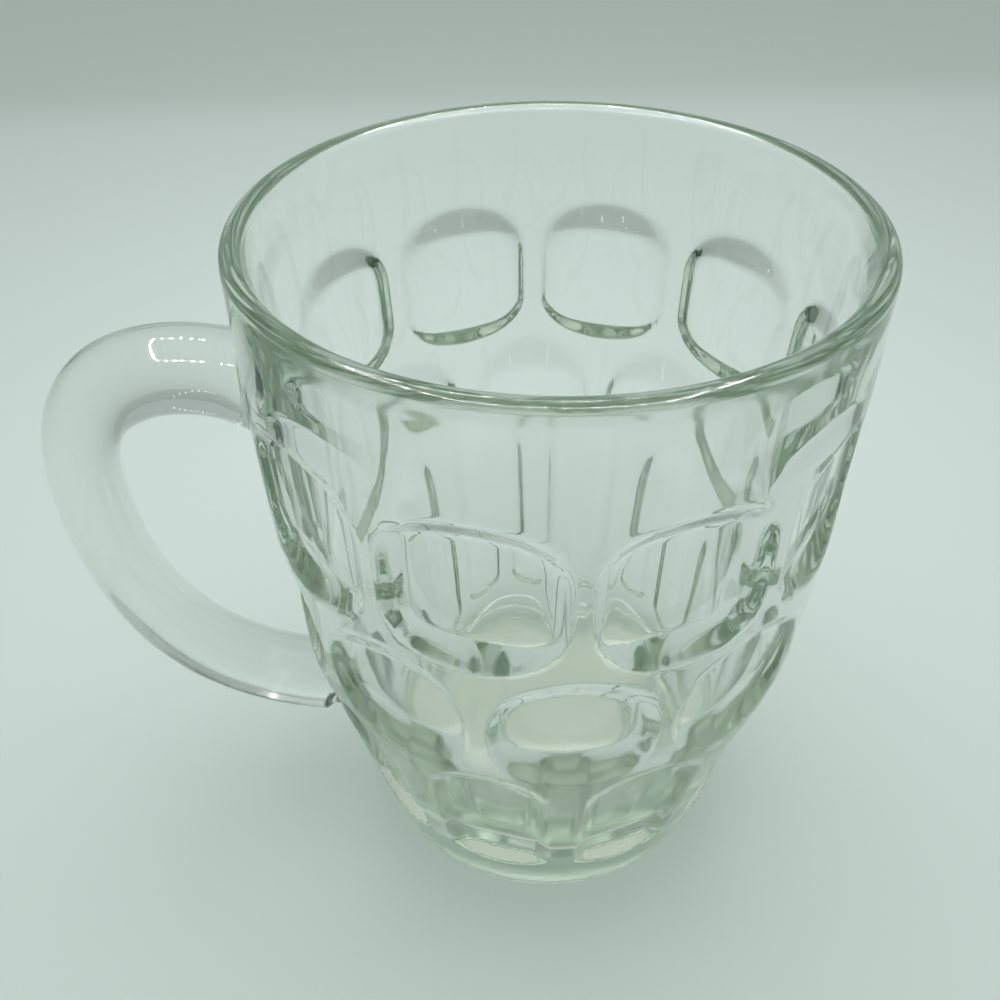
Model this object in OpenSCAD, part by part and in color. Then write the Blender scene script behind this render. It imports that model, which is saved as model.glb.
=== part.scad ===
// Dimpled glass beer mug, one pint, with its handle on the left (towards -X).
// Millimetres, +Z up, origin at the centre of the ring that the mug stands on.

/* [Body] */
// Height from the table to the rim
body_h = 127; // [115:0.5:140]
// Outer diameter of the plain band below the rim
band_d = 99; // [90:0.5:108]
// Height at which the wall starts to draw in
band_z = 112; // [109.5:0.5:114]
// How far the wall has drawn in at the shoulder between the second and third rows
shoulder_in = 3; // [1.5:0.25:5]
// Height of that shoulder
shoulder_z = 52; // [49:0.5:54]
// Outer diameter of the foot where it meets the table, before its rounding
foot_d = 67.6; // [60:0.2:74]
// Radius of the rounding round the foot
heel_r = 4; // [2:0.5:6]

/* [Inside] */
// Thickness of the wall at the rim
lip_wall = 3.4; // [2.8:0.1:4]
// Thickness of the wall below the band, where the rim's inner slope ends
throat_wall = 6.25; // [5:0.05:7]
// Height of that place
throat_z = 104; // [98:0.5:108]
// Thickness of the wall at the shoulder
shoulder_wall = 6.5; // [5.5:0.1:7.5]
// Thickness of the glass under the drink
base_wall = 16; // [12:0.5:18]
// Diameter of the floor inside, before its rounding
floor_d = 57; // [52:0.5:60]
// Radius of the rounding round the floor inside
floor_r = 5; // [3:0.5:9]
// Diameter of the hollow under the foot
punt_d = 54; // [48:0.5:56]
// Depth of that hollow
punt_depth = 1.4; // [0.6:0.1:2.5]

/* [Dimples] */
// Number of dimples round one row
dimple_count = 10; // [8:1:12]

/* [First row] */
// Height of the lower edge of a dimple's flat floor
row_1_low = 83.4; // [82:0.2:86]
// Height of its upper edge
row_1_top = 103.4; // [100:0.2:104.4]
// Depth of both edges under the plain wall
row_1_depth = 3; // [2:0.1:3.4]
// Width of the floor, as a share of one step round the row
row_1_width_share = 0.743; // [0.6:0.01:0.8]
// Radius of the arched ends, as a share of half the width
row_1_arch_share = 4.78; // [2:0.1:6]
// Run of the lower slope for each unit of its depth
row_1_low_share = 1.5; // [1.2:0.1:1.8]
// Run of the upper slope
row_1_top_share = 1.5; // [1.2:0.1:1.8]
// Run of the slopes at the sides
row_1_side_share = 2.2; // [1.5:0.1:2.6]
// Radius that rounds off the corners, as a share of the way from the middle to a corner
row_1_corner_share = 0.81; // [0.78:0.01:0.9]

/* [Second row] */
// Height of the lower edge of a dimple's flat floor
row_2_low = 56.5; // [55:0.1:58]
// Height of its upper edge
row_2_top = 72.5; // [70:0.1:73.5]
// Depth of both edges under the plain wall
row_2_depth = 3; // [2:0.1:3.4]
// Width of the floor, as a share of one step round the row
row_2_width_share = 0.734; // [0.6:0.01:0.8]
// Radius of the arched ends, as a share of half the width
row_2_arch_share = 1.85; // [1.4:0.05:3]
// Run of the lower slope for each unit of its depth
row_2_low_share = 2.1; // [1.6:0.1:2.4]
// Run of the upper slope
row_2_top_share = 2.1; // [1.6:0.1:2.4]
// Run of the slopes at the sides
row_2_side_share = 2.2; // [1.5:0.1:2.6]
// Radius that rounds off the corners, as a share of the way from the middle to a corner
row_2_corner_share = 0.82; // [0.81:0.01:0.9]

/* [Third row] */
// Height of the lower edge of a dimple's flat floor
row_3_low = 15.5; // [14:0.1:18]
// Height of its upper edge
row_3_top = 45; // [42:0.1:46]
// Depth of the lower edge under the plain wall
row_3_low_depth = 2.3; // [1.6:0.1:2.6]
// Depth of the upper edge
row_3_top_depth = 3; // [2.4:0.1:3.4]
// Width of the floor at its upper edge, as a share of one step round the row
row_3_width_share = 0.66; // [0.55:0.01:0.72]
// Width of the floor at its lower edge, as a share of the upper width
row_3_taper_share = 0.81; // [0.75:0.01:1]
// Radius of the arched upper end, as a share of half the width
row_3_top_arch_share = 1.1; // [1.05:0.01:2]
// Radius of the lower end
row_3_low_arch_share = 7; // [4:0.1:9]
// Run of the lower slope for each unit of its depth
row_3_low_share = 0.8; // [0.6:0.1:1.2]
// Run of the upper slope
row_3_top_share = 2.3; // [1.8:0.1:2.6]
// Run of the slopes at the sides
row_3_side_share = 1.5; // [1.2:0.1:1.8]
// Radius that rounds off the corners, as a share of the way from the middle to a corner
row_3_corner_share = 1.2; // [1.15:0.01:1.3]

/* [Handle] */
// Distance from the mug's axis to the middle of the grip
handle_reach = 80.3; // [77:0.25:88]
// Height of the middle of the upper joint
handle_top_z = 97.5; // [95:0.5:99]
// Height of the middle of the lower joint
handle_low_z = 27.5; // [26:0.5:32]
// Height of the middle of the grip
grip_z = 80; // [74:0.5:84]
// How far the upper arm rises above its joint
arm_rise = 9.5; // [6:0.25:11]
// Thickness of the grip, seen from the side
grip_t = 11.8; // [10:0.2:14]
// Thickness of the upper arm, seen from the side
arm_t = 14.8; // [13:0.2:16]
// Thickness of the lower arm, seen from the side
low_arm_t = 13.4; // [12:0.2:15]
// Thickness of the flared end at the upper joint
root_t = 18.5; // [16:0.25:20]
// How far that end drops inside the wall
root_drop = 2; // [0:0.25:4]
// Width of the handle, seen from the front
handle_w = 15; // [13:0.25:17]

/* [Hidden] */

// Radii of the body
band_r = band_d / 2;
shoulder_r = band_r - shoulder_in;
foot_r = foot_d / 2;
punt_r = punt_d / 2;
floor_edge_r = floor_d / 2;
rim_round_share = 0.47;
lip_r = lip_wall * rim_round_share;
cavity_r = band_r - lip_wall;
cavity_shoulder_r = shoulder_r - shoulder_wall;
// How far a cutter runs past what it cuts
overrun = 1;
// Sides of a full circle in a drawn preview
round_fn = 96;
bow_fn = 720;

// The wall between the shoulder and the band follows one big circle, upright at band_z
bow_h = band_z - shoulder_z;
bow_r = (bow_h * bow_h + shoulder_in * shoulder_in) / (2 * shoulder_in);

// Outer radius of the plain wall at height z
function wall_r(z) =
    z > band_z ? band_r
    : z > shoulder_z ? band_r - bow_r + sqrt(pow(bow_r, 2) - pow(band_z - z, 2))
    : foot_r + (shoulder_r - foot_r) * z / shoulder_z;

throat_r = wall_r(throat_z) - throat_wall;

// The sliver between a corner b and the arc of radius r that rounds it
module corner_sliver(a, b, c, r) {
    to_a = (a - b) / norm(a - b);
    to_c = (c - b) / norm(c - b);
    half = acos(to_a * to_c) / 2;
    middle = (to_a + to_c) / norm(to_a + to_c);
    difference() {
        polygon([b, b + to_a * r / tan(half), b + to_c * r / tan(half)]);
        translate(b + middle * r / sin(half)) circle(r, $fn = round_fn);
    }
}

// Half of the outer outline, filled to the axis
module outer_outline() {
    low = [foot_r, 0];
    high = [shoulder_r, shoulder_z];
    difference() {
        polygon([[0, 0], low, high, [0, shoulder_z]]);
        corner_sliver([0, 0], low, high, heel_r);
    }
    intersection() {
        translate([band_r - bow_r, band_z]) circle(bow_r, $fn = bow_fn);
        translate([0, shoulder_z]) square([band_r, band_z - shoulder_z]);
    }
    translate([0, band_z]) square([band_r, body_h - band_z]);
}

// Half of the hollow for the drink
module cavity_outline() {
    middle = [0, base_wall];
    edge = [floor_edge_r, base_wall];
    shoulder = [cavity_shoulder_r, shoulder_z];
    difference() {
        polygon([middle, edge, shoulder, [throat_r, throat_z], [cavity_r, body_h], [0, body_h]]);
        corner_sliver(middle, edge, shoulder, floor_r);
    }
}

// Half of the hollow under the foot: a shallow dome
module punt_outline() {
    dome_r = (punt_r * punt_r + punt_depth * punt_depth) / (2 * punt_depth);
    intersection() {
        translate([0, punt_depth - dome_r]) circle(dome_r, $fn = round_fn);
        square([punt_r, punt_depth]);
    }
}

module plain_body() {
    rotate_extrude($fn = round_fn) outer_outline();
}

// The three rows. An end of a dimple is [height, depth, width share, arch share, run share].
row_1 = [
    [row_1_low, row_1_depth, row_1_width_share, row_1_arch_share, row_1_low_share],
    [row_1_top, row_1_depth, row_1_width_share, row_1_arch_share, row_1_top_share],
    row_1_side_share,
    row_1_corner_share
];
row_2 = [
    [row_2_low, row_2_depth, row_2_width_share, row_2_arch_share, row_2_low_share],
    [row_2_top, row_2_depth, row_2_width_share, row_2_arch_share, row_2_top_share],
    row_2_side_share,
    row_2_corner_share
];
row_3_low_width_share = row_3_width_share * row_3_taper_share;
row_3 = [
    [row_3_low, row_3_low_depth, row_3_low_width_share, row_3_low_arch_share, row_3_low_share],
    [row_3_top, row_3_top_depth, row_3_width_share, row_3_top_arch_share, row_3_top_share],
    row_3_side_share,
    row_3_corner_share
];

// A cone that widens outwards, lying on the floor of a dimple
module floor_cone(radius, run, out) {
    rotate([0, 90, 0]) cylinder(h = out, r1 = radius, r2 = radius + run * out, $fn = round_fn);
}

// The room on the inner side of one sloping side of a dimple, from far below its lower edge
module side_room(half, taper, run, out, far) {
    translate([0, half, 0]) rotate([-taper, 0, 0]) translate([0, 0, -far]) linear_extrude(2 * far)
        polygon([[0, 0], [out, run * out], [out, -far], [0, -far]]);
}

// A dimple with a flat floor, two sloping sides and two sloping, arched ends. It is drawn on
// its floor with X outwards and is then tilted with the wall.
module dimple_cutter(row) {
    low = row[0];
    top = row[1];
    side_run = row[2];
    step_w = 2 * wall_r((low[0] + top[0]) / 2) * sin(180 / dimple_count);
    low_half = step_w * low[2] / 2;
    top_half = step_w * top[2] / 2;
    low_arch_r = low_half * low[3];
    top_arch_r = top_half * top[3];
    low_point = [wall_r(low[0]) - low[1], low[0]];
    top_point = [wall_r(top[0]) - top[1], top[0]];
    rise = top_point - low_point;
    tall = norm(rise);
    corner_r = norm([top_half, tall / 2]) * row[3];
    out = max(low[1], top[1]) + overrun;
    far = tall + out * (low[4] + top[4]) + step_w;
    taper = atan((top_half - low_half) / tall);
    translate([low_point.x, 0, low_point.y]) rotate([0, atan2(rise.x, rise.y), 0]) intersection() {
        side_room(low_half, taper, side_run, out, far);
        mirror([0, 1, 0]) side_room(low_half, taper, side_run, out, far);
        translate([0, 0, low_arch_r]) floor_cone(low_arch_r, low[4], out);
        translate([0, 0, tall - top_arch_r]) {
            floor_cone(top_arch_r, top[4], out);
            translate([0, -far, -far]) cube([out, 2 * far, far]);
        }
        translate([0, 0, tall / 2]) floor_cone(corner_r, side_run, out);
    }
}

// A row of cutters. turn shifts the row by that share of the pitch. The handle is fused to
// the plain wall at angle 180, so a row that would have a dimple there leaves it out.
module dimple_row(turn, row) {
    pitch = 360 / dimple_count;
    for (i = [0 : dimple_count - 1]) {
        angle = 180 + (i + turn) * pitch;
        if (i + turn > 0) rotate(angle) dimple_cutter(row);
    }
}

// Half of the glass itself, with its rim rounded on both sides
module glass_outline() {
    rim_in = [cavity_r, body_h];
    rim_out = [band_r, body_h];
    difference() {
        outer_outline();
        cavity_outline();
        punt_outline();
        corner_sliver([throat_r, throat_z], rim_in, rim_out, lip_r);
        corner_sliver(rim_in, rim_out, [band_r, 0], lip_r);
    }
}

module mug_body() {
    color([0.75, 0.84, 0.77, 0.5]) difference() {
        difference() {
            rotate_extrude($fn = round_fn) glass_outline();
            dimple_row(0, row_1);
            dimple_row(0, row_3);
        }
        dimple_row(0.5, row_2);
    }
}

// The handle's middle line: two cubic curves in the plane of the mug's axis, given as
// [distance from the axis, height]. Both ends start inside the wall, which then cuts them off.
root_in = root_t / 2;
top_start = [wall_r(handle_top_z) - root_in, handle_top_z - root_drop];
grip_point = [handle_reach, grip_z];
low_end_point = [wall_r(handle_low_z) - root_in, handle_low_z];
arm_share = 0.4;
bend_share = 0.55;
low_reach_share = 0.75;
upper_curve = [
    top_start,
    [top_start.x + (handle_reach - top_start.x) * arm_share, handle_top_z + arm_rise],
    [handle_reach, handle_top_z + arm_rise],
    grip_point
];
lower_curve = [
    grip_point,
    [handle_reach, grip_z - (grip_z - handle_low_z) * bend_share],
    [low_end_point.x + (handle_reach - low_end_point.x) * low_reach_share, handle_low_z],
    low_end_point
];

function bezier(p, t) =
    p[0] * pow(1 - t, 3) + 3 * p[1] * t * pow(1 - t, 2)
    + 3 * p[2] * pow(t, 2) * (1 - t) + p[3] * pow(t, 3);
function bezier_way(p, t) =
    3 * (p[1] - p[0]) * pow(1 - t, 2) + 6 * (p[2] - p[1]) * t * (1 - t)
    + 3 * (p[3] - p[2]) * pow(t, 2);
function handle_middle(s) = s < 1 ? bezier(upper_curve, s) : bezier(lower_curve, s - 1);
function handle_way(s) =
    let (w = s < 1 ? bezier_way(upper_curve, s) : bezier_way(lower_curve, s - 1)) w / norm(w);

// Thickness along the handle, from s = 0 at the upper joint to s = 2 at the lower one
thick_at_share = [0, 0.3, 0.55, 1, 1.35, 2];
thick_there = [root_t, arm_t, arm_t, grip_t, grip_t, low_arm_t];
function ease(t) = t * t * (3 - 2 * t);
function thick(s, i = 0) =
    s > thick_at_share[i + 1] && i + 2 < len(thick_at_share) ? thick(s, i + 1)
    : let (t = (s - thick_at_share[i]) / (thick_at_share[i + 1] - thick_at_share[i]))
        thick_there[i] + (thick_there[i + 1] - thick_there[i]) * ease(t);

handle_rings = 52;
handle_sides = 24;

module handle_rod() {
    points = [
        for (i = [0 : handle_rings]) let (
            s = 2 * i / handle_rings,
            middle = handle_middle(s),
            way = handle_way(s),
            half_t = thick(s) / 2
        ) for (j = [0 : handle_sides - 1]) let (
            turn = 360 * j / handle_sides,
            out = half_t * cos(turn)
        ) [-middle.x + way.y * out, handle_w / 2 * sin(turn), middle.y + way.x * out]
    ];
    sides = [
        for (i = [0 : handle_rings - 1]) for (j = [0 : handle_sides - 1]) let (
            a = i * handle_sides + j,
            b = i * handle_sides + (j + 1) % handle_sides
        ) each [[a, a + handle_sides, b], [b, a + handle_sides, b + handle_sides]]
    ];
    last = handle_rings * handle_sides;
    caps = [
        [for (j = [0 : handle_sides - 1]) j],
        [for (j = [handle_sides - 1 : -1 : 0]) last + j]
    ];
    polyhedron(points, concat(sides, caps));
}

module handle() {
    color([0.80, 0.87, 0.85, 0.5]) difference() {
        handle_rod();
        plain_body();
    }
}

mug_body();
handle();
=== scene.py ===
# %% [markdown]
# # A dimpled glass beer mug
# This lesson builds a pressed glass pint mug from two meshes, a pale green body and a clearer
# handle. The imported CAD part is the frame: it gives the real sizes and the place of each piece.
# Everything here is in metres, with +Z up and the origin in the middle of the foot.

import math

import bpy
import numpy as np
from mathutils import Matrix, Vector


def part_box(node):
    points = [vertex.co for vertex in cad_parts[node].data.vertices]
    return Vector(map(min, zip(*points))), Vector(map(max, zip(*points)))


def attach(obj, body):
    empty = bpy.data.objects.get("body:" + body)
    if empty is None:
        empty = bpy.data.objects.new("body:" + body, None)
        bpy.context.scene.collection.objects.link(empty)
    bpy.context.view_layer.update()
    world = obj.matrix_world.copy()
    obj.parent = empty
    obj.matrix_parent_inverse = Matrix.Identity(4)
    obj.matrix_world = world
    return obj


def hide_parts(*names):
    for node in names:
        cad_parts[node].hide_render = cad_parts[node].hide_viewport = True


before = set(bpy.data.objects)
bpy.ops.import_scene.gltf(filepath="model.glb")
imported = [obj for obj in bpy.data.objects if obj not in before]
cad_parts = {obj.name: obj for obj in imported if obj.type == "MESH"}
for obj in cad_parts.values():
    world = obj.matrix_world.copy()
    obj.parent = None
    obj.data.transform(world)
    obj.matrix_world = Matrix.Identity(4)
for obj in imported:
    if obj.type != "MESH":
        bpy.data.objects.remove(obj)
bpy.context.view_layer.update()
body_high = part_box("mug_body")[1]
MM = 0.001

# %% [markdown]
# ## The camera
# The photograph looks down on the front of the mug at about 40 degrees from close by, which is
# why the rim looks so much wider than the foot. The camera's place was worked out from the rim,
# the foot and the grid of dimples together. A Track To constraint could aim it, but it can't
# give the small roll of a camera held by hand, so the three axes are worked out here.

# %% Camera
camera_distance = 149.9 * MM
camera_side = math.radians(-95.63)
camera_height = 196.7 * MM
camera_heading = math.radians(87.77)
camera_down = math.radians(39.69)
camera_roll = math.radians(-0.72)
picture_px = 1000
focal_px = 1079
sensor_mm = 36
view_reach = 100

lens = bpy.data.cameras.new("photo_camera")
lens.sensor_width = sensor_mm
lens.lens = sensor_mm * focal_px / picture_px
lens.clip_start = MM
lens.clip_end = view_reach
camera = bpy.data.objects.new("photo_camera", lens)
bpy.context.scene.collection.objects.link(camera)
ahead = Vector((
    math.cos(camera_heading) * math.cos(camera_down),
    math.sin(camera_heading) * math.cos(camera_down),
    -math.sin(camera_down),
))
right = ahead.cross(Vector((0, 0, 1))).normalized()
up = right.cross(ahead)
turned_right = right * math.cos(camera_roll) + up * math.sin(camera_roll)
turned_up = up * math.cos(camera_roll) - right * math.sin(camera_roll)
place = Vector((
    camera_distance * math.cos(camera_side),
    camera_distance * math.sin(camera_side),
    camera_height,
))
axes = Matrix((turned_right, turned_up, -ahead)).transposed().to_4x4()
camera.matrix_world = Matrix.Translation(place) @ axes
bpy.context.scene.camera = camera
print("camera with a", round(lens.lens, 1), "mm lens,", round(place.length / MM), "mm from the foot")

# %% [markdown]
# ## Sizes of the mug
# The frame gives the overall sizes. The sizes inside it are the ones of the CAD part, so that
# the smooth meshes below lie on its solids.

# %% Sizes
body_h = body_high.z
band_r = body_high.x
band_z = 112 * MM
shoulder_in = 3 * MM
shoulder_z = 52 * MM
foot_r = 33.8 * MM
heel_r = 4 * MM
lip_wall = 3.4 * MM
shoulder_wall = 6.5 * MM
base_wall = 16 * MM
floor_edge_r = 28.5 * MM
floor_r = 5 * MM
punt_r = 27 * MM
punt_depth = 1.4 * MM
rim_round_share = 0.47
lip_r = lip_wall * rim_round_share
shoulder_r = band_r - shoulder_in
bow_h = band_z - shoulder_z
bow_r = (bow_h**2 + shoulder_in**2) / (2 * shoulder_in)
cavity_r = band_r - lip_wall
cavity_shoulder_r = shoulder_r - shoulder_wall
throat_z = 104 * MM
throat_wall = 6.25 * MM
throat_r = band_r - bow_r + math.sqrt(bow_r**2 - (band_z - throat_z) ** 2) - throat_wall
print("band", round(2 * band_r / MM, 1), "mm across, body", round(body_h / MM, 1), "mm tall")

# %% [markdown]
# ## The plain wall
# Hot glass rounds every edge a little, so two surfaces never meet in a sharp line. A soft
# minimum does that to numbers: it gives the lower of two heights, and where they are close it
# eases from one to the other. The wall is the lower of a cone, which rises from the foot, and
# a big circle that ends upright in the plain band. Inside, the hollow for the drink is a slim
# funnel that opens once more just below the rim, where the glass thins out towards the lip.

# %% Plain wall
shoulder_ease = 1 * MM
throat_ease = 1 * MM
cavity_ease = 2 * MM


def soft_min(a, b, reach):
    """The lower of a and b, eased where they differ by less than reach."""
    near = np.maximum(reach - np.abs(a - b), 0) / reach
    return np.minimum(a, b) - near**2 * reach / 4


def soft_max(a, b, reach):
    """The higher of a and b, eased where they differ by less than reach."""
    return -soft_min(-a, -b, reach)


def outer_radius(z):
    """Outer radius of the plain wall at height z."""
    cone = foot_r + (shoulder_r - foot_r) * z / shoulder_z
    bow = band_r - bow_r + np.sqrt(bow_r**2 - np.maximum(band_z - z, 0) ** 2)
    return soft_min(cone, bow, shoulder_ease)


def inner_radius(z):
    """Radius of the hollow for the drink at height z."""
    low_slope = (cavity_shoulder_r - floor_edge_r) / (shoulder_z - base_wall)
    high_slope = (throat_r - cavity_shoulder_r) / (throat_z - shoulder_z)
    rim_slope = (cavity_r - throat_r) / (body_h - throat_z)
    low = floor_edge_r + low_slope * (z - base_wall)
    high = cavity_shoulder_r + high_slope * (z - shoulder_z)
    rim = throat_r + rim_slope * (z - throat_z)
    return soft_min(low, soft_max(high, rim, throat_ease), cavity_ease)


print("wall", round((outer_radius(band_z) - inner_radius(band_z)) / MM, 2), "mm thick at the band")

# %% [markdown]
# ## The dimples
# Each dimple is pressed by a pad of the mould with a flat face. So it has a flat floor that
# leans with the wall, sloping sides and two sloping ends that follow an arch. The floor and the
# slopes together give one radius for every point of the wall. The wall takes it where it is
# lower than its own radius, and the soft minimum rounds the edge between the two.
#
# The rise of a slope depends on how far a point is past the floor's edge, and that is measured
# in the tilted plane of the floor. The point itself is on the slope, so its place isn't known
# before the rise is. A few rounds of working out one from the other settle it.

# %% Dimples
dimple_count = 10
pitch = math.tau / dimple_count
edge_ease = 0.5 * MM
crease_ease = 0.4 * MM
slope_rounds = 4
# Pairs are for the lower and the upper end of a floor, in millimetres. height, depth and half
# are its place, its depth under the plain wall and half its width. arch is the radius of the
# end and corner that of the floor's corners. run is how far the lower, upper and side slopes
# run for each millimetre of rise, and turn is the row's turn as a share of the pitch.
dimple_rows = [
    dict(
        height=(83.4, 103.4), depth=(3, 3), half=(11.3, 11.3), arch=(54, 54), corner=(5, 5),
        run=(1.5, 1.5, 2.2), turn=0,
    ),
    dict(
        height=(56.5, 72.5), depth=(3, 3), half=(10.8, 10.8), arch=(20, 20), corner=(3, 3),
        run=(2.1, 2.1, 2.2), turn=0.5,
    ),
    dict(
        height=(15.5, 45), depth=(2.3, 3), half=(6.8, 8.4), arch=(48, 9.2), corner=(1, 1),
        run=(0.8, 2.3, 1.5), turn=0,
    ),
]


def dimple_radius(row, from_middle, z, plain):
    """Radius of the hollow of a row's dimple, from_middle radians from its middle, at height z."""
    low, top = (v * MM for v in row["height"])
    low_r, top_r = (outer_radius(h) - d * MM for h, d in zip((low, top), row["depth"]))
    low_half, top_half = (v * MM for v in row["half"])
    low_arch, top_arch = (v * MM for v in row["arch"])
    low_corner, top_corner = (v * MM for v in row["corner"])
    low_run, top_run, side_run = row["run"]
    tilt = math.atan2(top_r - low_r, top - low)
    length = math.hypot(top_r - low_r, top - low)
    hollow = plain
    for _ in range(slope_rounds):
        out = hollow * np.cos(from_middle) - low_r
        aside = np.abs(hollow * np.sin(from_middle))
        along = out * math.sin(tilt) + (z - low) * math.cos(tilt)
        upper = along > length / 2
        arch = np.where(upper, top_arch, low_arch)
        corner = np.where(upper, top_corner, low_corner)
        end_run = np.where(upper, top_run, low_run)
        from_end = np.where(upper, length - along, along)
        past_end = np.hypot(aside, np.minimum(from_end - arch, 0)) - arch
        past_end = np.maximum(past_end / end_run + corner / side_run, 0)
        half = low_half + (top_half - low_half) * along / length
        past_side = np.maximum((aside - half + corner) / side_run, 0)
        rise = np.hypot(past_end, past_side) - corner / side_run
        rise = soft_max(rise, 0 * rise, crease_ease)
        out = (rise + (z - low) * math.sin(tilt)) / math.cos(tilt)
        hollow = (low_r + out) / np.cos(from_middle)
    return hollow


def pressed_radius(angle, z, plain):
    """The wall's radius after pressing, where plain is its radius before."""
    pressed = plain
    for row in dimple_rows:
        from_first = (angle - math.pi) / pitch - row["turn"]
        number = np.round(from_first)
        from_middle = (from_first - number) * pitch
        hollow = dimple_radius(row, from_middle, z, plain)
        behind_handle = (number % dimple_count == 0) & (row["turn"] == 0)
        pressed = soft_min(pressed, np.where(behind_handle, 2 * band_r, hollow), edge_ease)
    return pressed


probe_z = 94 * MM
plain_r = outer_radius(probe_z)
first_depth = plain_r - pressed_radius(math.pi + pitch, probe_z, plain_r)
print("a dimple of the first row is", round(float(first_depth) / MM, 2), "mm deep")

# %% [markdown]
# ## From an outline to a mesh
# The body could be turned with a Screw modifier and pressed with booleans, but booleans leave
# ragged shading on glass, where every kink bends the view behind it. Instead the mesh is one
# grid: its rows follow the outline from the hollow under the foot, up the wall, over the rim
# and down to the floor inside, and its columns go round. Rows and columns lie closer where the
# dimples have their edges.

# %% Grid helpers
def close_near(low, high, fine, coarse, spots, reach):
    """Numbers from low to high, fine apart within reach of a spot and coarse elsewhere."""
    found = [low]
    while found[-1] < high - coarse / 2:
        gap = min(abs(found[-1] + fine - s) for s in spots)
        found.append(found[-1] + (fine if gap < reach else coarse))
    share = (high - low) / (found[-1] - low)
    return low + (np.array(found) - low) * share


def arc(centre, radius, start, end, count):
    """Points (radius, height) on an arc, angles in degrees, both ends included."""
    turn = np.radians(np.linspace(start, end, count))
    return [(centre[0] + radius * math.cos(t), centre[1] + radius * math.sin(t)) for t in turn]


def mesh_from_rings(name, rings):
    """A closed mesh from rings of points. The first and last ring are closed by a fan."""
    rows, columns = len(rings), len(rings[0])
    first, last = np.mean(rings[0], axis=0), np.mean(rings[-1], axis=0)
    points = np.concatenate([np.reshape(rings, (-1, 3)), [first, last]])
    a = np.arange((rows - 1) * columns).reshape(rows - 1, columns)
    b = np.roll(a, -1, axis=1)
    quads = np.stack([a, b, b + columns, a + columns], axis=-1).reshape(-1, 4)
    ring = np.arange(columns)
    beside = np.roll(ring, -1)
    start = np.stack([beside, ring, np.full(columns, rows * columns)], axis=-1)
    end_ring, end_beside = ring + (rows - 1) * columns, beside + (rows - 1) * columns
    end = np.stack([end_ring, end_beside, np.full(columns, rows * columns + 1)], axis=-1)
    corners = np.concatenate([quads.ravel(), start.ravel(), end.ravel()])
    sides = np.concatenate([np.full(len(quads), 4), np.full(2 * columns, 3)])
    mesh = bpy.data.meshes.new(name)
    mesh.vertices.add(len(points))
    mesh.vertices.foreach_set("co", points.ravel())
    mesh.loops.add(len(corners))
    mesh.loops.foreach_set("vertex_index", corners)
    mesh.polygons.add(len(sides))
    mesh.polygons.foreach_set("loop_start", np.concatenate([[0], np.cumsum(sides)[:-1]]))
    mesh.update(calc_edges=True)
    mesh.validate()
    mesh.shade_smooth()
    piece = bpy.data.objects.new(name, mesh)
    bpy.context.scene.collection.objects.link(piece)
    print(name, "has", len(points), "points and", len(sides), "faces")
    return piece


print("steps near a spot:", np.round(close_near(0, 1, 0.05, 0.2, [0.5], 0.15), 2))

# %% [markdown]
# ## The body
# The outline starts in the middle of the hollow under the foot and ends in the middle of the
# floor inside. It could be drawn as a curve by hand, but worked out from the sizes it lies on
# the CAD part's wall everywhere. Only the rows of the outer wall are pressed.

# %% Body outline
heel_rows, rim_rows, dome_rows, corner_rows, inner_rows, floor_rows = 9, 9, 14, 12, 52, 10
fine_step, coarse_step, edge_reach = 0.5 * MM, 1.4 * MM, 4 * MM
edge_heights = [z * MM for z in (14, 47, 51, 55, 73, 79, 84, 105)]
fan_r = 1 * MM

wall_slope = math.atan2(shoulder_r - foot_r, shoulder_z)
heel_reach = heel_r * math.tan((math.pi / 2 - wall_slope) / 2)
heel_middle = (foot_r - heel_reach, heel_r)
dome_r = (punt_r**2 + punt_depth**2) / (2 * punt_depth)
dome_half = math.degrees(math.asin(punt_r / dome_r))
dome_start = 89.9
outline = arc((0, punt_depth - dome_r), dome_r, dome_start, 90 - dome_half, dome_rows)
outline += arc(heel_middle, heel_r, -90, -math.degrees(wall_slope), heel_rows)
heel_top = outline[-1][1]
pressed_from = len(outline)

rim_z = body_h - lip_r
heights = close_near(heel_top, rim_z, fine_step, coarse_step, edge_heights, edge_reach)[1:]
outline += [(outer_radius(z), z) for z in heights]
pressed_to = len(outline)

rim_out = (band_r - lip_r, rim_z)
rim_in = (cavity_r + lip_r, rim_z)
outline += arc(rim_out, lip_r, 0, 90, rim_rows)[1:]
outline += arc(rim_in, lip_r, 90, 180, rim_rows)
floor_slope = math.atan2(cavity_shoulder_r - floor_edge_r, shoulder_z - base_wall)
floor_reach = floor_r * math.tan((math.pi / 2 - floor_slope) / 2)
floor_middle = (floor_edge_r - floor_reach, base_wall + floor_r)
floor_arc = arc(floor_middle, floor_r, -math.degrees(floor_slope), -90, corner_rows)
inner_heights = np.linspace(rim_z, floor_arc[0][1], inner_rows)[1:-1]
outline += [(inner_radius(z), z) for z in inner_heights]
outline += floor_arc
outline += [(r, base_wall) for r in np.linspace(floor_arc[-1][0], fan_r, floor_rows)[1:]]
on_wall_count = pressed_to - pressed_from
print("the outline has", len(outline), "points,", on_wall_count, "of them on the outer wall")

# %% [markdown]
# Now the outline is turned round the axis. The pressing changes the radius of each point of the
# outer wall by its angle, which no Screw modifier could do. The columns are closest along the
# ridges between the dimples, where the glass is most curved.

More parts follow.
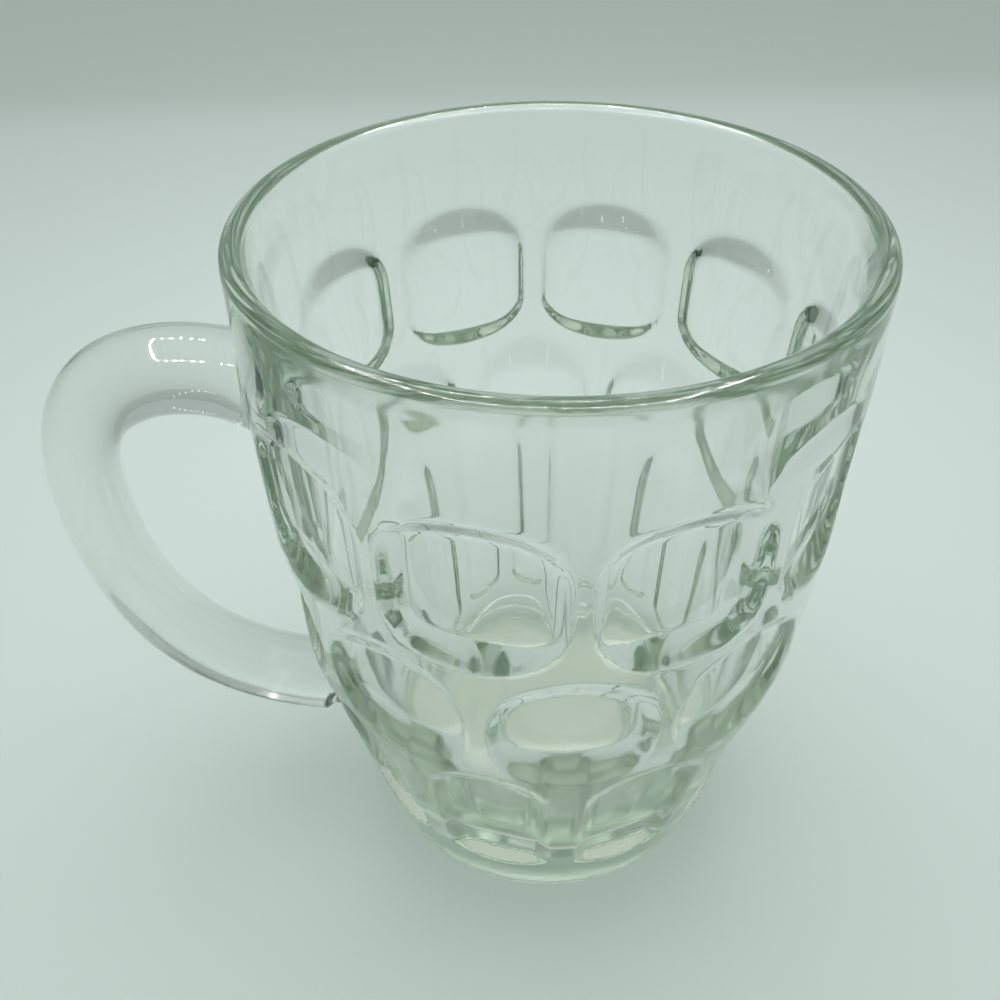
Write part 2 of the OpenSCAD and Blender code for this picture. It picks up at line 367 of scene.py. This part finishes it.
# %% Body mesh
fine_turn, coarse_turn, ridge_reach = 0.011, 0.03, 0.07
ridge_angles = [k * pitch / 2 for k in range(2 * dimple_count + 1)]
angles = close_near(0, math.tau, fine_turn, coarse_turn, ridge_angles, ridge_reach)[:-1]
rings = []
for number, (radius, z) in enumerate(outline):
    ring_r = np.full(len(angles), radius)
    if pressed_from <= number < pressed_to:
        ring_r = pressed_radius(angles, z, ring_r)
    ring = np.stack([ring_r * np.cos(angles), ring_r * np.sin(angles), np.full(len(angles), z)], -1)
    rings.append(ring)
mug_body = mesh_from_rings("mug_body_glass", rings)

# %% [markdown]
# ## The handle
# The handle is a rod of hot glass that was laid against the wall at both ends. Its middle line
# is two cubic curves that meet in the grip, and its section is an ellipse whose thickness
# changes along the way. A curve object with a bevel could make such a rod, but its ends would
# be cut straight. Here each end spreads a little and follows the wall's curve.

# %% Handle sizes
handle_reach = 80.3 * MM
handle_top_z = 97.5 * MM
handle_low_z = 27.5 * MM
grip_z = 80 * MM
arm_rise = 9.5 * MM
grip_t, arm_t, low_arm_t, root_t = 11.8 * MM, 14.8 * MM, 13.4 * MM, 18.5 * MM
root_drop = 2 * MM
handle_w = 15 * MM
arm_share, bend_share, low_reach_share = 0.4, 0.55, 0.75
root_in = root_t / 2
top_start = np.array([outer_radius(handle_top_z) - root_in, handle_top_z - root_drop])
low_end = np.array([outer_radius(handle_low_z) - root_in, handle_low_z])
grip = np.array([handle_reach, grip_z])
upper_curve = np.array([
    top_start,
    [top_start[0] + (handle_reach - top_start[0]) * arm_share, handle_top_z + arm_rise],
    [handle_reach, handle_top_z + arm_rise],
    grip,
])
lower_curve = np.array([
    grip,
    [handle_reach, grip_z - (grip_z - handle_low_z) * bend_share],
    [low_end[0] + (handle_reach - low_end[0]) * low_reach_share, handle_low_z],
    low_end,
])
thick_at_share = [0, 0.3, 0.55, 1, 1.35, 2]
thick_there = [root_t, arm_t, arm_t, grip_t, grip_t, low_arm_t]


def handle_middle(s):
    """Distance from the axis and height of the middle line, s from 0 at the top to 2."""
    p, t = (upper_curve, s) if s < 1 else (lower_curve, s - 1)
    u = 1 - t
    return u**3 * p[0] + 3 * u**2 * t * p[1] + 3 * u * t**2 * p[2] + t**3 * p[3]


def handle_way(s):
    """Direction of the middle line at s, as a unit vector."""
    p, t = (upper_curve, s) if s < 1 else (lower_curve, s - 1)
    u = 1 - t
    way = u**2 * (p[1] - p[0]) + 2 * u * t * (p[2] - p[1]) + t**2 * (p[3] - p[2])
    return way / np.linalg.norm(way)


def handle_thickness(s):
    """Thickness in the handle's own plane at s."""
    k = min(int(np.searchsorted(thick_at_share, s, side="right")) - 1, len(thick_at_share) - 2)
    t = (s - thick_at_share[k]) / (thick_at_share[k + 1] - thick_at_share[k])
    return thick_there[k] + (thick_there[k + 1] - thick_there[k]) * t * t * (3 - 2 * t)


def handle_ring(s, turns):
    """The rod's section at s, as points."""
    middle, way = handle_middle(s), handle_way(s)
    out = handle_thickness(s) / 2 * np.cos(turns)
    side = handle_w / 2 * np.sin(turns)
    return np.stack([-(middle[0] - way[1] * out), side, middle[1] + way[0] * out], -1)


grip_size = [round(v / MM, 1) for v in (handle_thickness(1), handle_w)]
print("the grip is", grip_size[0], "mm thick and", grip_size[1], "mm wide")

# %% [markdown]
# Where the middle line leaves the wall is found by trying points along it. A joint is then an
# oval on the wall, a little larger than the rod, and a smooth curve leads from each point of
# the oval to the rod: it starts along the wall and ends along the rod.

# %% Joints of the handle
joint_spread = 1.2 * MM
joint_length = 3.2 * MM
seat_gap = 0.01 * MM
oval_shares = np.array([0.05, 0.3, 0.55, 0.8, 1])
spread_rings = 7
step_s, way_s = 0.001, 0.01
halvings = 40
handle_sides = 64
turns = np.linspace(0, math.tau, handle_sides, endpoint=False)


def on_wall(y, z):
    """The point of the wall at y and z on the handle's side, a hair outside it."""
    return np.stack([-np.sqrt((outer_radius(z) + seat_gap) ** 2 - y**2), y, z], -1)


def wall_distance(point):
    """How far a point of the middle line is outside the wall."""
    return point[0] - outer_radius(point[1])


def leaves_wall(low, high):
    """The s between low and high at which the middle line crosses the wall."""
    for _ in range(halvings):
        half = (low + high) / 2
        if wall_distance(handle_middle(half)) * wall_distance(handle_middle(low)) > 0:
            low = half
        else:
            high = half
    return (low + high) / 2


def joint_rings(s_wall, towards):
    """Rings from the middle of a joint, over its oval on the wall, to the rod."""
    middle, way = handle_middle(s_wall), handle_way(s_wall)
    tall = handle_thickness(s_wall) / 2 / abs(way[0]) + joint_spread
    wide = handle_w / 2 + joint_spread
    flat = [
        on_wall(wide * k * np.sin(turns), middle[1] + tall * k * np.cos(turns))
        for k in oval_shares
    ]
    s = s_wall
    while np.linalg.norm(handle_middle(s) - middle) < joint_length:
        s += towards * step_s
    rod = handle_ring(s, turns)
    edge = flat[-1]
    centre = on_wall(np.array(0.0), np.array(middle[1]))
    inward = centre - edge
    inward = inward * joint_length / np.linalg.norm(inward, axis=-1, keepdims=True)
    along = rod - handle_ring(s - towards * way_s, turns)
    along = along / np.linalg.norm(along, axis=-1, keepdims=True) * joint_length
    spread = []
    for t in np.linspace(0, 1, spread_rings + 2)[1:-1]:
        u = 1 - t
        spread.append(
            (1 + 2 * t) * u * u * edge
            + t * u * u * inward
            + t * t * (3 - 2 * t) * rod
            - t * t * u * along
        )
    return flat, spread, s, (middle[1], wide, tall)


top_wall, low_wall = leaves_wall(0, 0.5), leaves_wall(1.5, 2)
print("the middle line leaves the wall at", round(top_wall, 3), "and", round(low_wall, 3))

# %% [markdown]
# All the rings of the handle now follow one another: the upper joint's oval, its spread, the
# rod, and the lower joint the other way round. That makes it one closed mesh.

# %% Handle mesh
rod_count = 130
top_flat, top_spread, top_s, top_joint = joint_rings(top_wall, 1)
low_flat, low_spread, low_s, low_joint = joint_rings(low_wall, -1)
rod_rings = [handle_ring(s, turns) for s in np.linspace(top_s, low_s, rod_count)]
handle_rings = top_flat + top_spread + rod_rings + low_spread[::-1] + low_flat[::-1]
handle = mesh_from_rings("handle_glass", handle_rings)
print("the joints are at", round(top_joint[0] / MM, 1), "and", round(low_joint[0] / MM, 1), "mm")

# %% [markdown]
# ## Where the two are one glass
# Real glass has no surface inside a fused joint, so light goes straight through from the wall
# into the handle. Joining the two meshes would give that too, but they are two kinds of glass.
# So both meshes carry a number that is under 1 inside a joint's oval, and their materials bend
# no light there.

# %% Mark the joints
far_off = 4.0
skin = 0.1 * MM


def mark_joint(piece, numbers):
    """Stores the joint numbers on the piece's points."""
    mark = piece.data.attributes.new("from_joint", "FLOAT", "POINT")
    mark.data.foreach_set("value", np.ascontiguousarray(numbers, np.float32))


def points_of(piece):
    """The piece's points as rows of x, y, z."""
    co = np.empty(len(piece.data.vertices) * 3, np.float32)
    piece.data.vertices.foreach_get("co", co)
    return co.reshape(-1, 3)


x, y, z = points_of(mug_body).T
from_joint = np.full(len(x), far_off)
outside = (x < 0) & (np.hypot(x, y) > outer_radius(z) - skin)
for middle_z, wide, tall in (top_joint, low_joint):
    oval = (y / wide) ** 2 + ((z - middle_z) / tall) ** 2
    from_joint = np.where(outside, np.minimum(from_joint, oval), from_joint)
mark_joint(mug_body, from_joint)

oval_marks = oval_shares**2
between = np.full(len(handle_rings) - 2 * len(oval_marks), far_off)
ring_marks = np.concatenate([oval_marks, between, oval_marks[::-1]])
mark_joint(handle, np.concatenate([np.repeat(ring_marks, handle_sides), [0, 0]]))
print("points inside a joint:", int((from_joint < 1).sum()), "on the body")

# %% [markdown]
# ## The surface of pressed glass
# Pressed glass isn't optically flat: the mould chills it, so it has shallow waves a few
# millimetres across and a finer orange peel. The foot and the rim touch the cold iron longest,
# so they are a little duller than the wall between them. Both pieces have this surface, so it is
# one node group, which puts out a height for the Bump node and a roughness.

# %% Node helpers
def new_group(name, inputs, outputs):
    """A shader node group with these sockets, and its input and output nodes."""
    group = bpy.data.node_groups.new(name, "ShaderNodeTree")
    for socket, value in inputs:
        entry = group.interface.new_socket(socket, in_out="INPUT", socket_type="NodeSocketFloat")
        entry.default_value = value
    for socket in outputs:
        group.interface.new_socket(socket, in_out="OUTPUT", socket_type="NodeSocketFloat")
    return group, group.nodes.new("NodeGroupInput"), group.nodes.new("NodeGroupOutput")


def noise_at(nodes, links, place, scale, detail):
    """A noise texture at a place, its scale from a socket."""
    noise = nodes.new("ShaderNodeTexNoise")
    noise.inputs["Detail"].default_value = detail
    links.new(place, noise.inputs["Vector"])
    links.new(scale, noise.inputs["Scale"])
    return noise.outputs["Fac"]


def maths(nodes, links, operation, a, b):
    """A Math node whose inputs are sockets or numbers."""
    node = nodes.new("ShaderNodeMath")
    node.operation = operation
    for socket, value in zip(node.inputs, (a, b)):
        if isinstance(value, (int, float)):
            socket.default_value = value
        else:
            links.new(value, socket)
    return node.outputs[0]


print("node helpers:", [helper.__name__ for helper in (new_group, noise_at, maths)])

# %% [markdown]
# The group adds a coarse noise and a little of a fine one for the height. Its roughness follows
# the coarse noise and grows towards the foot and the rim, over heights that are inputs too. A
# Noise texture with object coordinates is enough, because the glass has no grain or direction.

# %% Pressed glass group
pressed, entry, result = new_group(
    "pressed_glass",
    [
        ("Wave Scale", 90),
        ("Peel Scale", 700),
        ("Peel Share", 0.01),
        ("Least Roughness", 0),
        ("Roughness Range", 0.05),
        ("Chill Roughness", 0),
        ("Chilled Below", 58 * MM),
        ("Polished From", 80 * MM),
        ("Polished To", 120 * MM),
        ("Chilled Above", 125 * MM),
    ],
    ["Height", "Roughness"],
)
nodes, links = pressed.nodes, pressed.links
coordinates = nodes.new("ShaderNodeTexCoord").outputs["Object"]
waves = noise_at(nodes, links, coordinates, entry.outputs["Wave Scale"], 1)
peel = noise_at(nodes, links, coordinates, entry.outputs["Peel Scale"], 2)
fine = maths(nodes, links, "MULTIPLY", peel, entry.outputs["Peel Share"])
links.new(maths(nodes, links, "ADD", waves, fine), result.inputs["Height"])
patchy = maths(nodes, links, "MULTIPLY", waves, entry.outputs["Roughness Range"])
even = maths(nodes, links, "ADD", patchy, entry.outputs["Least Roughness"])
split = nodes.new("ShaderNodeSeparateXYZ")
links.new(coordinates, split.inputs[0])
chill = 0.0
for polished, chilled in (("Polished From", "Chilled Below"), ("Polished To", "Chilled Above")):
    step = nodes.new("ShaderNodeMapRange")
    step.interpolation_type = "SMOOTHSTEP"
    links.new(split.outputs["Z"], step.inputs["Value"])
    links.new(entry.outputs[polished], step.inputs["From Min"])
    links.new(entry.outputs[chilled], step.inputs["From Max"])
    chill = maths(nodes, links, "ADD", chill, step.outputs["Result"])
dull = maths(nodes, links, "MULTIPLY", chill, entry.outputs["Chill Roughness"])
links.new(maths(nodes, links, "ADD", even, dull), result.inputs["Roughness"])
print("the group", pressed.name, "has", len(nodes), "nodes")

# %% [markdown]
# ## Glass
# The green lives inside the glass, so it comes from Volume Absorption: long ways through the
# base and the edges turn green while thin walls stay clear. A green Base Color would tint every
# surface alike, thick or thin. The Light Path mixes let lamps shine through to the floor, which
# a renderer can't find well by chance.

# %% Glass material
glass_ior = 1.5
patchiness = 0.03
edge_blend = 0.35
face_on = (0.97, 0.98, 0.97, 1)


def glass(name, tint, density, wave_height, chill_roughness, shade):
    """A pressed glass. Its inside takes on the tint, and shade is what its edges let through."""
    material = bpy.data.materials.new(name)
    material.use_nodes = True
    tree = material.node_tree
    nodes, links = tree.nodes, tree.links
    nodes.clear()
    output = nodes.new("ShaderNodeOutputMaterial")
    shader = nodes.new("ShaderNodeBsdfPrincipled")
    shader.inputs["Base Color"].default_value = (1, 1, 1, 1)
    shader.inputs["Transmission Weight"].default_value = 1
    shader.inputs["IOR"].default_value = glass_ior

    surface = nodes.new("ShaderNodeGroup")
    surface.node_tree = pressed
    surface.inputs["Roughness Range"].default_value = patchiness
    surface.inputs["Chill Roughness"].default_value = chill_roughness
    links.new(surface.outputs["Roughness"], shader.inputs["Roughness"])
    bump = nodes.new("ShaderNodeBump")
    bump.inputs["Distance"].default_value = wave_height
    bump.inputs["Strength"].default_value = 1
    links.new(surface.outputs["Height"], bump.inputs["Height"])
    links.new(bump.outputs["Normal"], shader.inputs["Normal"])

    joint = nodes.new("ShaderNodeAttribute")
    joint.attribute_name = "from_joint"
    apart = maths(nodes, links, "GREATER_THAN", joint.outputs["Fac"], 1.0)
    bend = maths(nodes, links, "MULTIPLY", apart, glass_ior - 1)
    links.new(maths(nodes, links, "ADD", bend, 1.0), shader.inputs["IOR"])

    edge = nodes.new("ShaderNodeLayerWeight")
    edge.inputs["Blend"].default_value = edge_blend
    let_through = nodes.new("ShaderNodeMix")
    let_through.data_type = "RGBA"
    let_through.inputs["A"].default_value = face_on
    let_through.inputs["B"].default_value = shade
    links.new(edge.outputs["Facing"], let_through.inputs["Factor"])
    clear = nodes.new("ShaderNodeBsdfTransparent")
    links.new(let_through.outputs["Result"], clear.inputs["Color"])
    light = nodes.new("ShaderNodeLightPath")
    shown = shader.outputs[0]
    for ray in ("Is Shadow Ray", "Is Diffuse Ray"):
        mix = nodes.new("ShaderNodeMixShader")
        links.new(light.outputs[ray], mix.inputs["Fac"])
        links.new(shown, mix.inputs[1])
        links.new(clear.outputs[0], mix.inputs[2])
        shown = mix.outputs[0]
    links.new(shown, output.inputs["Surface"])

    inside = nodes.new("ShaderNodeVolumeAbsorption")
    inside.inputs["Color"].default_value = tint
    inside.inputs["Density"].default_value = density
    links.new(inside.outputs["Volume"], output.inputs["Volume"])
    return material


print("glass bends light by an index of", glass_ior)

# %% [markdown]
# The body is the greener glass, and its foot and rim are duller than its wall. The handle was
# laid on as a rod, so it is bright all over, but a little wavier.

# %% Two glasses
body_glass = glass(
    "pale_green_glass",
    tint=(0.43, 0.56, 0.41, 1),
    density=14,
    wave_height=0.02 * MM,
    chill_roughness=0.085,
    shade=(0.45, 0.52, 0.46, 1),
)
handle_glass = glass(
    "clear_handle_glass",
    tint=(0.436, 0.493, 0.436, 1),
    density=14,
    wave_height=0.04 * MM,
    chill_roughness=0,
    shade=(0.5, 0.55, 0.52, 1),
)
pieces = (
    (mug_body, "mug_body", "body_glass", body_glass),
    (handle, "handle", "handle_glass", handle_glass),
)
for piece, node, slot, material in pieces:
    piece.data.materials.append(material)
    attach(piece, "root")
    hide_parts(node)
    print(piece.name, "is made of", material.name)

# %% [markdown]
# ## Floor and light
# The photograph was taken in a small tent of white cloth with a ring of small lamps in its
# roof. The floor keeps the mug's soft shadow and turns a little darker behind the mug, where
# the tent's back wall begins. Under the foot it is brighter, because a thick glass foot
# gathers the light that falls into the mug. A renderer finds such gathered light only with very
# many samples, so here it is painted into the cloth's colour as a pool of light.

# %% Floor cloth
floor_size = 6.0
backdrop_y = 0.39
backdrop_starts, backdrop_ends = backdrop_y - 0.02, backdrop_y + 0.05
floor_color = (0.571, 0.665, 0.631, 1)
backdrop_color = (0.50, 0.59, 0.55, 1)
painted_caustic_color = (0.93, 0.95, 0.90, 1)


def eased(nodes, links, value, low, high):
    """A smooth step of a socket, from 0 at low to 1 at high."""
    step = nodes.new("ShaderNodeMapRange")
    step.interpolation_type = "SMOOTHSTEP"
    step.inputs["From Min"].default_value = low
    step.inputs["From Max"].default_value = high
    links.new(value, step.inputs["Value"])
    return step.outputs["Result"]


def mixed(nodes, links, share, a, b):
    """A mix of two colours or sockets by a socket."""
    mix = nodes.new("ShaderNodeMix")
    mix.data_type = "RGBA"
    links.new(share, mix.inputs["Factor"])
    for socket, value in (("A", a), ("B", b)):
        if isinstance(value, tuple):
            mix.inputs[socket].default_value = value
        else:
            links.new(value, mix.inputs[socket])
    return mix.outputs["Result"]


def floor_cloth():
    """A pale cloth, darker at the back, with a painted pool of light under the foot."""
    material = bpy.data.materials.new("floor_cloth")
    material.use_nodes = True
    nodes, links = material.node_tree.nodes, material.node_tree.links
    shader = nodes["Principled BSDF"]
    shader.inputs["Roughness"].default_value = 0.9
    shader.inputs["Specular IOR Level"].default_value = 0.1
    place = nodes.new("ShaderNodeTexCoord").outputs["Object"]
    split = nodes.new("ShaderNodeSeparateXYZ")
    links.new(place, split.inputs[0])
    far = eased(nodes, links, split.outputs["Y"], backdrop_starts, backdrop_ends)
    cloth = mixed(nodes, links, far, floor_color, backdrop_color)
    from_axis = nodes.new("ShaderNodeVectorMath")
    from_axis.operation = "LENGTH"
    links.new(place, from_axis.inputs[0])
    # Painted light: the cloth turns bright under the foot, where the glass foot gathers light.
    near = eased(nodes, links, from_axis.outputs["Value"], foot_r, punt_r)
    lit = mixed(nodes, links, near, cloth, painted_caustic_color)
    links.new(lit, shader.inputs["Base Color"])
    return material


def stage_floor():
    """A large sheet of the cloth at the height of the foot."""
    mesh = bpy.data.meshes.new("floor")
    half = floor_size / 2
    corners = [(-half, -half, 0), (half, -half, 0), (half, half, 0), (-half, half, 0)]
    mesh.from_pydata(corners, [], [(0, 1, 2, 3)])
    mesh.materials.append(floor_cloth())
    sheet = bpy.data.objects.new("floor", mesh)
    bpy.context.scene.collection.objects.link(sheet)
    return sheet


print("the floor is", stage_floor().dimensions.x, "m wide")

# %% [markdown]
# The world stands for the walls and the roof of the tent. It could be a room of planes, but a
# colour that depends only on the direction is simpler. Camera, mirrored and bent rays see the
# tent's own colours, and all other rays get one plain fill.

# %% World
front_color = (0.30, 0.35, 0.33, 1)
wall_color = (0.40, 0.46, 0.44, 1)
roof_color = (0.75, 0.82, 0.79, 1)
fill_color = (0.66, 0.66, 0.66, 1)
front_to_wall = (-1.0, -0.3)
wall_to_roof = (0.85, 0.98)

world = bpy.data.worlds.new("tent")
bpy.context.scene.world = world
world.use_nodes = True
nodes, links = world.node_tree.nodes, world.node_tree.links
way_out = nodes.new("ShaderNodeTexCoord").outputs["Generated"]
split = nodes.new("ShaderNodeSeparateXYZ")
links.new(way_out, split.inputs[0])
at_wall = eased(nodes, links, split.outputs["Y"], *front_to_wall)
walls = mixed(nodes, links, at_wall, front_color, wall_color)
at_roof = eased(nodes, links, split.outputs["Z"], *wall_to_roof)
tent = mixed(nodes, links, at_roof, walls, roof_color)
light = nodes.new("ShaderNodeLightPath")
seen = light.outputs["Is Camera Ray"]
for ray in ("Is Glossy Ray", "Is Transmission Ray"):
    seen = maths(nodes, links, "MAXIMUM", seen, light.outputs[ray])
links.new(mixed(nodes, links, seen, fill_color, tent), nodes["Background"].inputs["Color"])
print("the world has", len(nodes), "nodes")

# %% [markdown]
# One soft lamp under the roof casts the shadow round the foot. It is hidden from mirrored and
# bent rays, because the photograph shows no square of light in the glass.

# %% Roof lamp
roof_lamp_place = (0, 0.08, 0.36)
roof_lamp_size = 0.3
roof_lamp_watts = 0.74

lamp = bpy.data.lights.new("roof_lamp", "AREA")
lamp.shape = "SQUARE"
lamp.size = roof_lamp_size
lamp.energy = roof_lamp_watts
roof_lamp = bpy.data.objects.new("roof_lamp", lamp)
roof_lamp.location = roof_lamp_place
roof_lamp.visible_camera = False
roof_lamp.visible_glossy = False
roof_lamp.visible_transmission = False
bpy.context.scene.collection.objects.link(roof_lamp)
print("the roof lamp gives", roof_lamp_watts, "W")

# %% [markdown]
# The ring of small lamps adds almost no light to the cloth. It is here for the rows of glints
# on the handle and along the rim, so only mirrored and bent rays can see it.

# %% Ring of small lamps
ring_z = 0.382
ring_x = (-0.165, 0.15)
ring_y = (-0.21, 0.11)
ring_counts = (15, 14)
ring_dot = 0.009
ring_watts = 0.05


def ring_lamp(number, x, y):
    """One round lamp of the ring, seen only as a small glint in the glass."""
    lamp = bpy.data.lights.new(f"ring_lamp_{number}", "AREA")
    lamp.shape = "DISK"
    lamp.size = ring_dot
    lamp.energy = ring_watts
    holder = bpy.data.objects.new(lamp.name, lamp)
    holder.location = (x, y, ring_z)
    holder.visible_camera = False
    holder.visible_diffuse = False
    bpy.context.scene.collection.objects.link(holder)


across = np.linspace(*ring_x, ring_counts[0])
along = np.linspace(*ring_y, ring_counts[1])[1:-1]
ring_places = [(x, y) for y in ring_y for x in across] + [(x, y) for x in ring_x for y in along]
for number, (x, y) in enumerate(ring_places):
    ring_lamp(number, x, y)
print("the ring has", len(ring_places), "lamps")

# %% [markdown]
# ## Finish
# A ray that gets into a thick wall of glass is mirrored inside it many times before it leaves.
# With too few bounces allowed it ends in black, so the limits are high. The Standard view shows
# the colours as they are written.

# %% Finish
bounces = 32
bpy.context.scene.view_settings.view_transform = "Standard"
cycles = bpy.context.scene.cycles
cycles.max_bounces = bounces
cycles.transmission_bounces = bounces
cycles.glossy_bounces = bounces
cycles.transparent_max_bounces = bounces
cycles.use_denoising = True
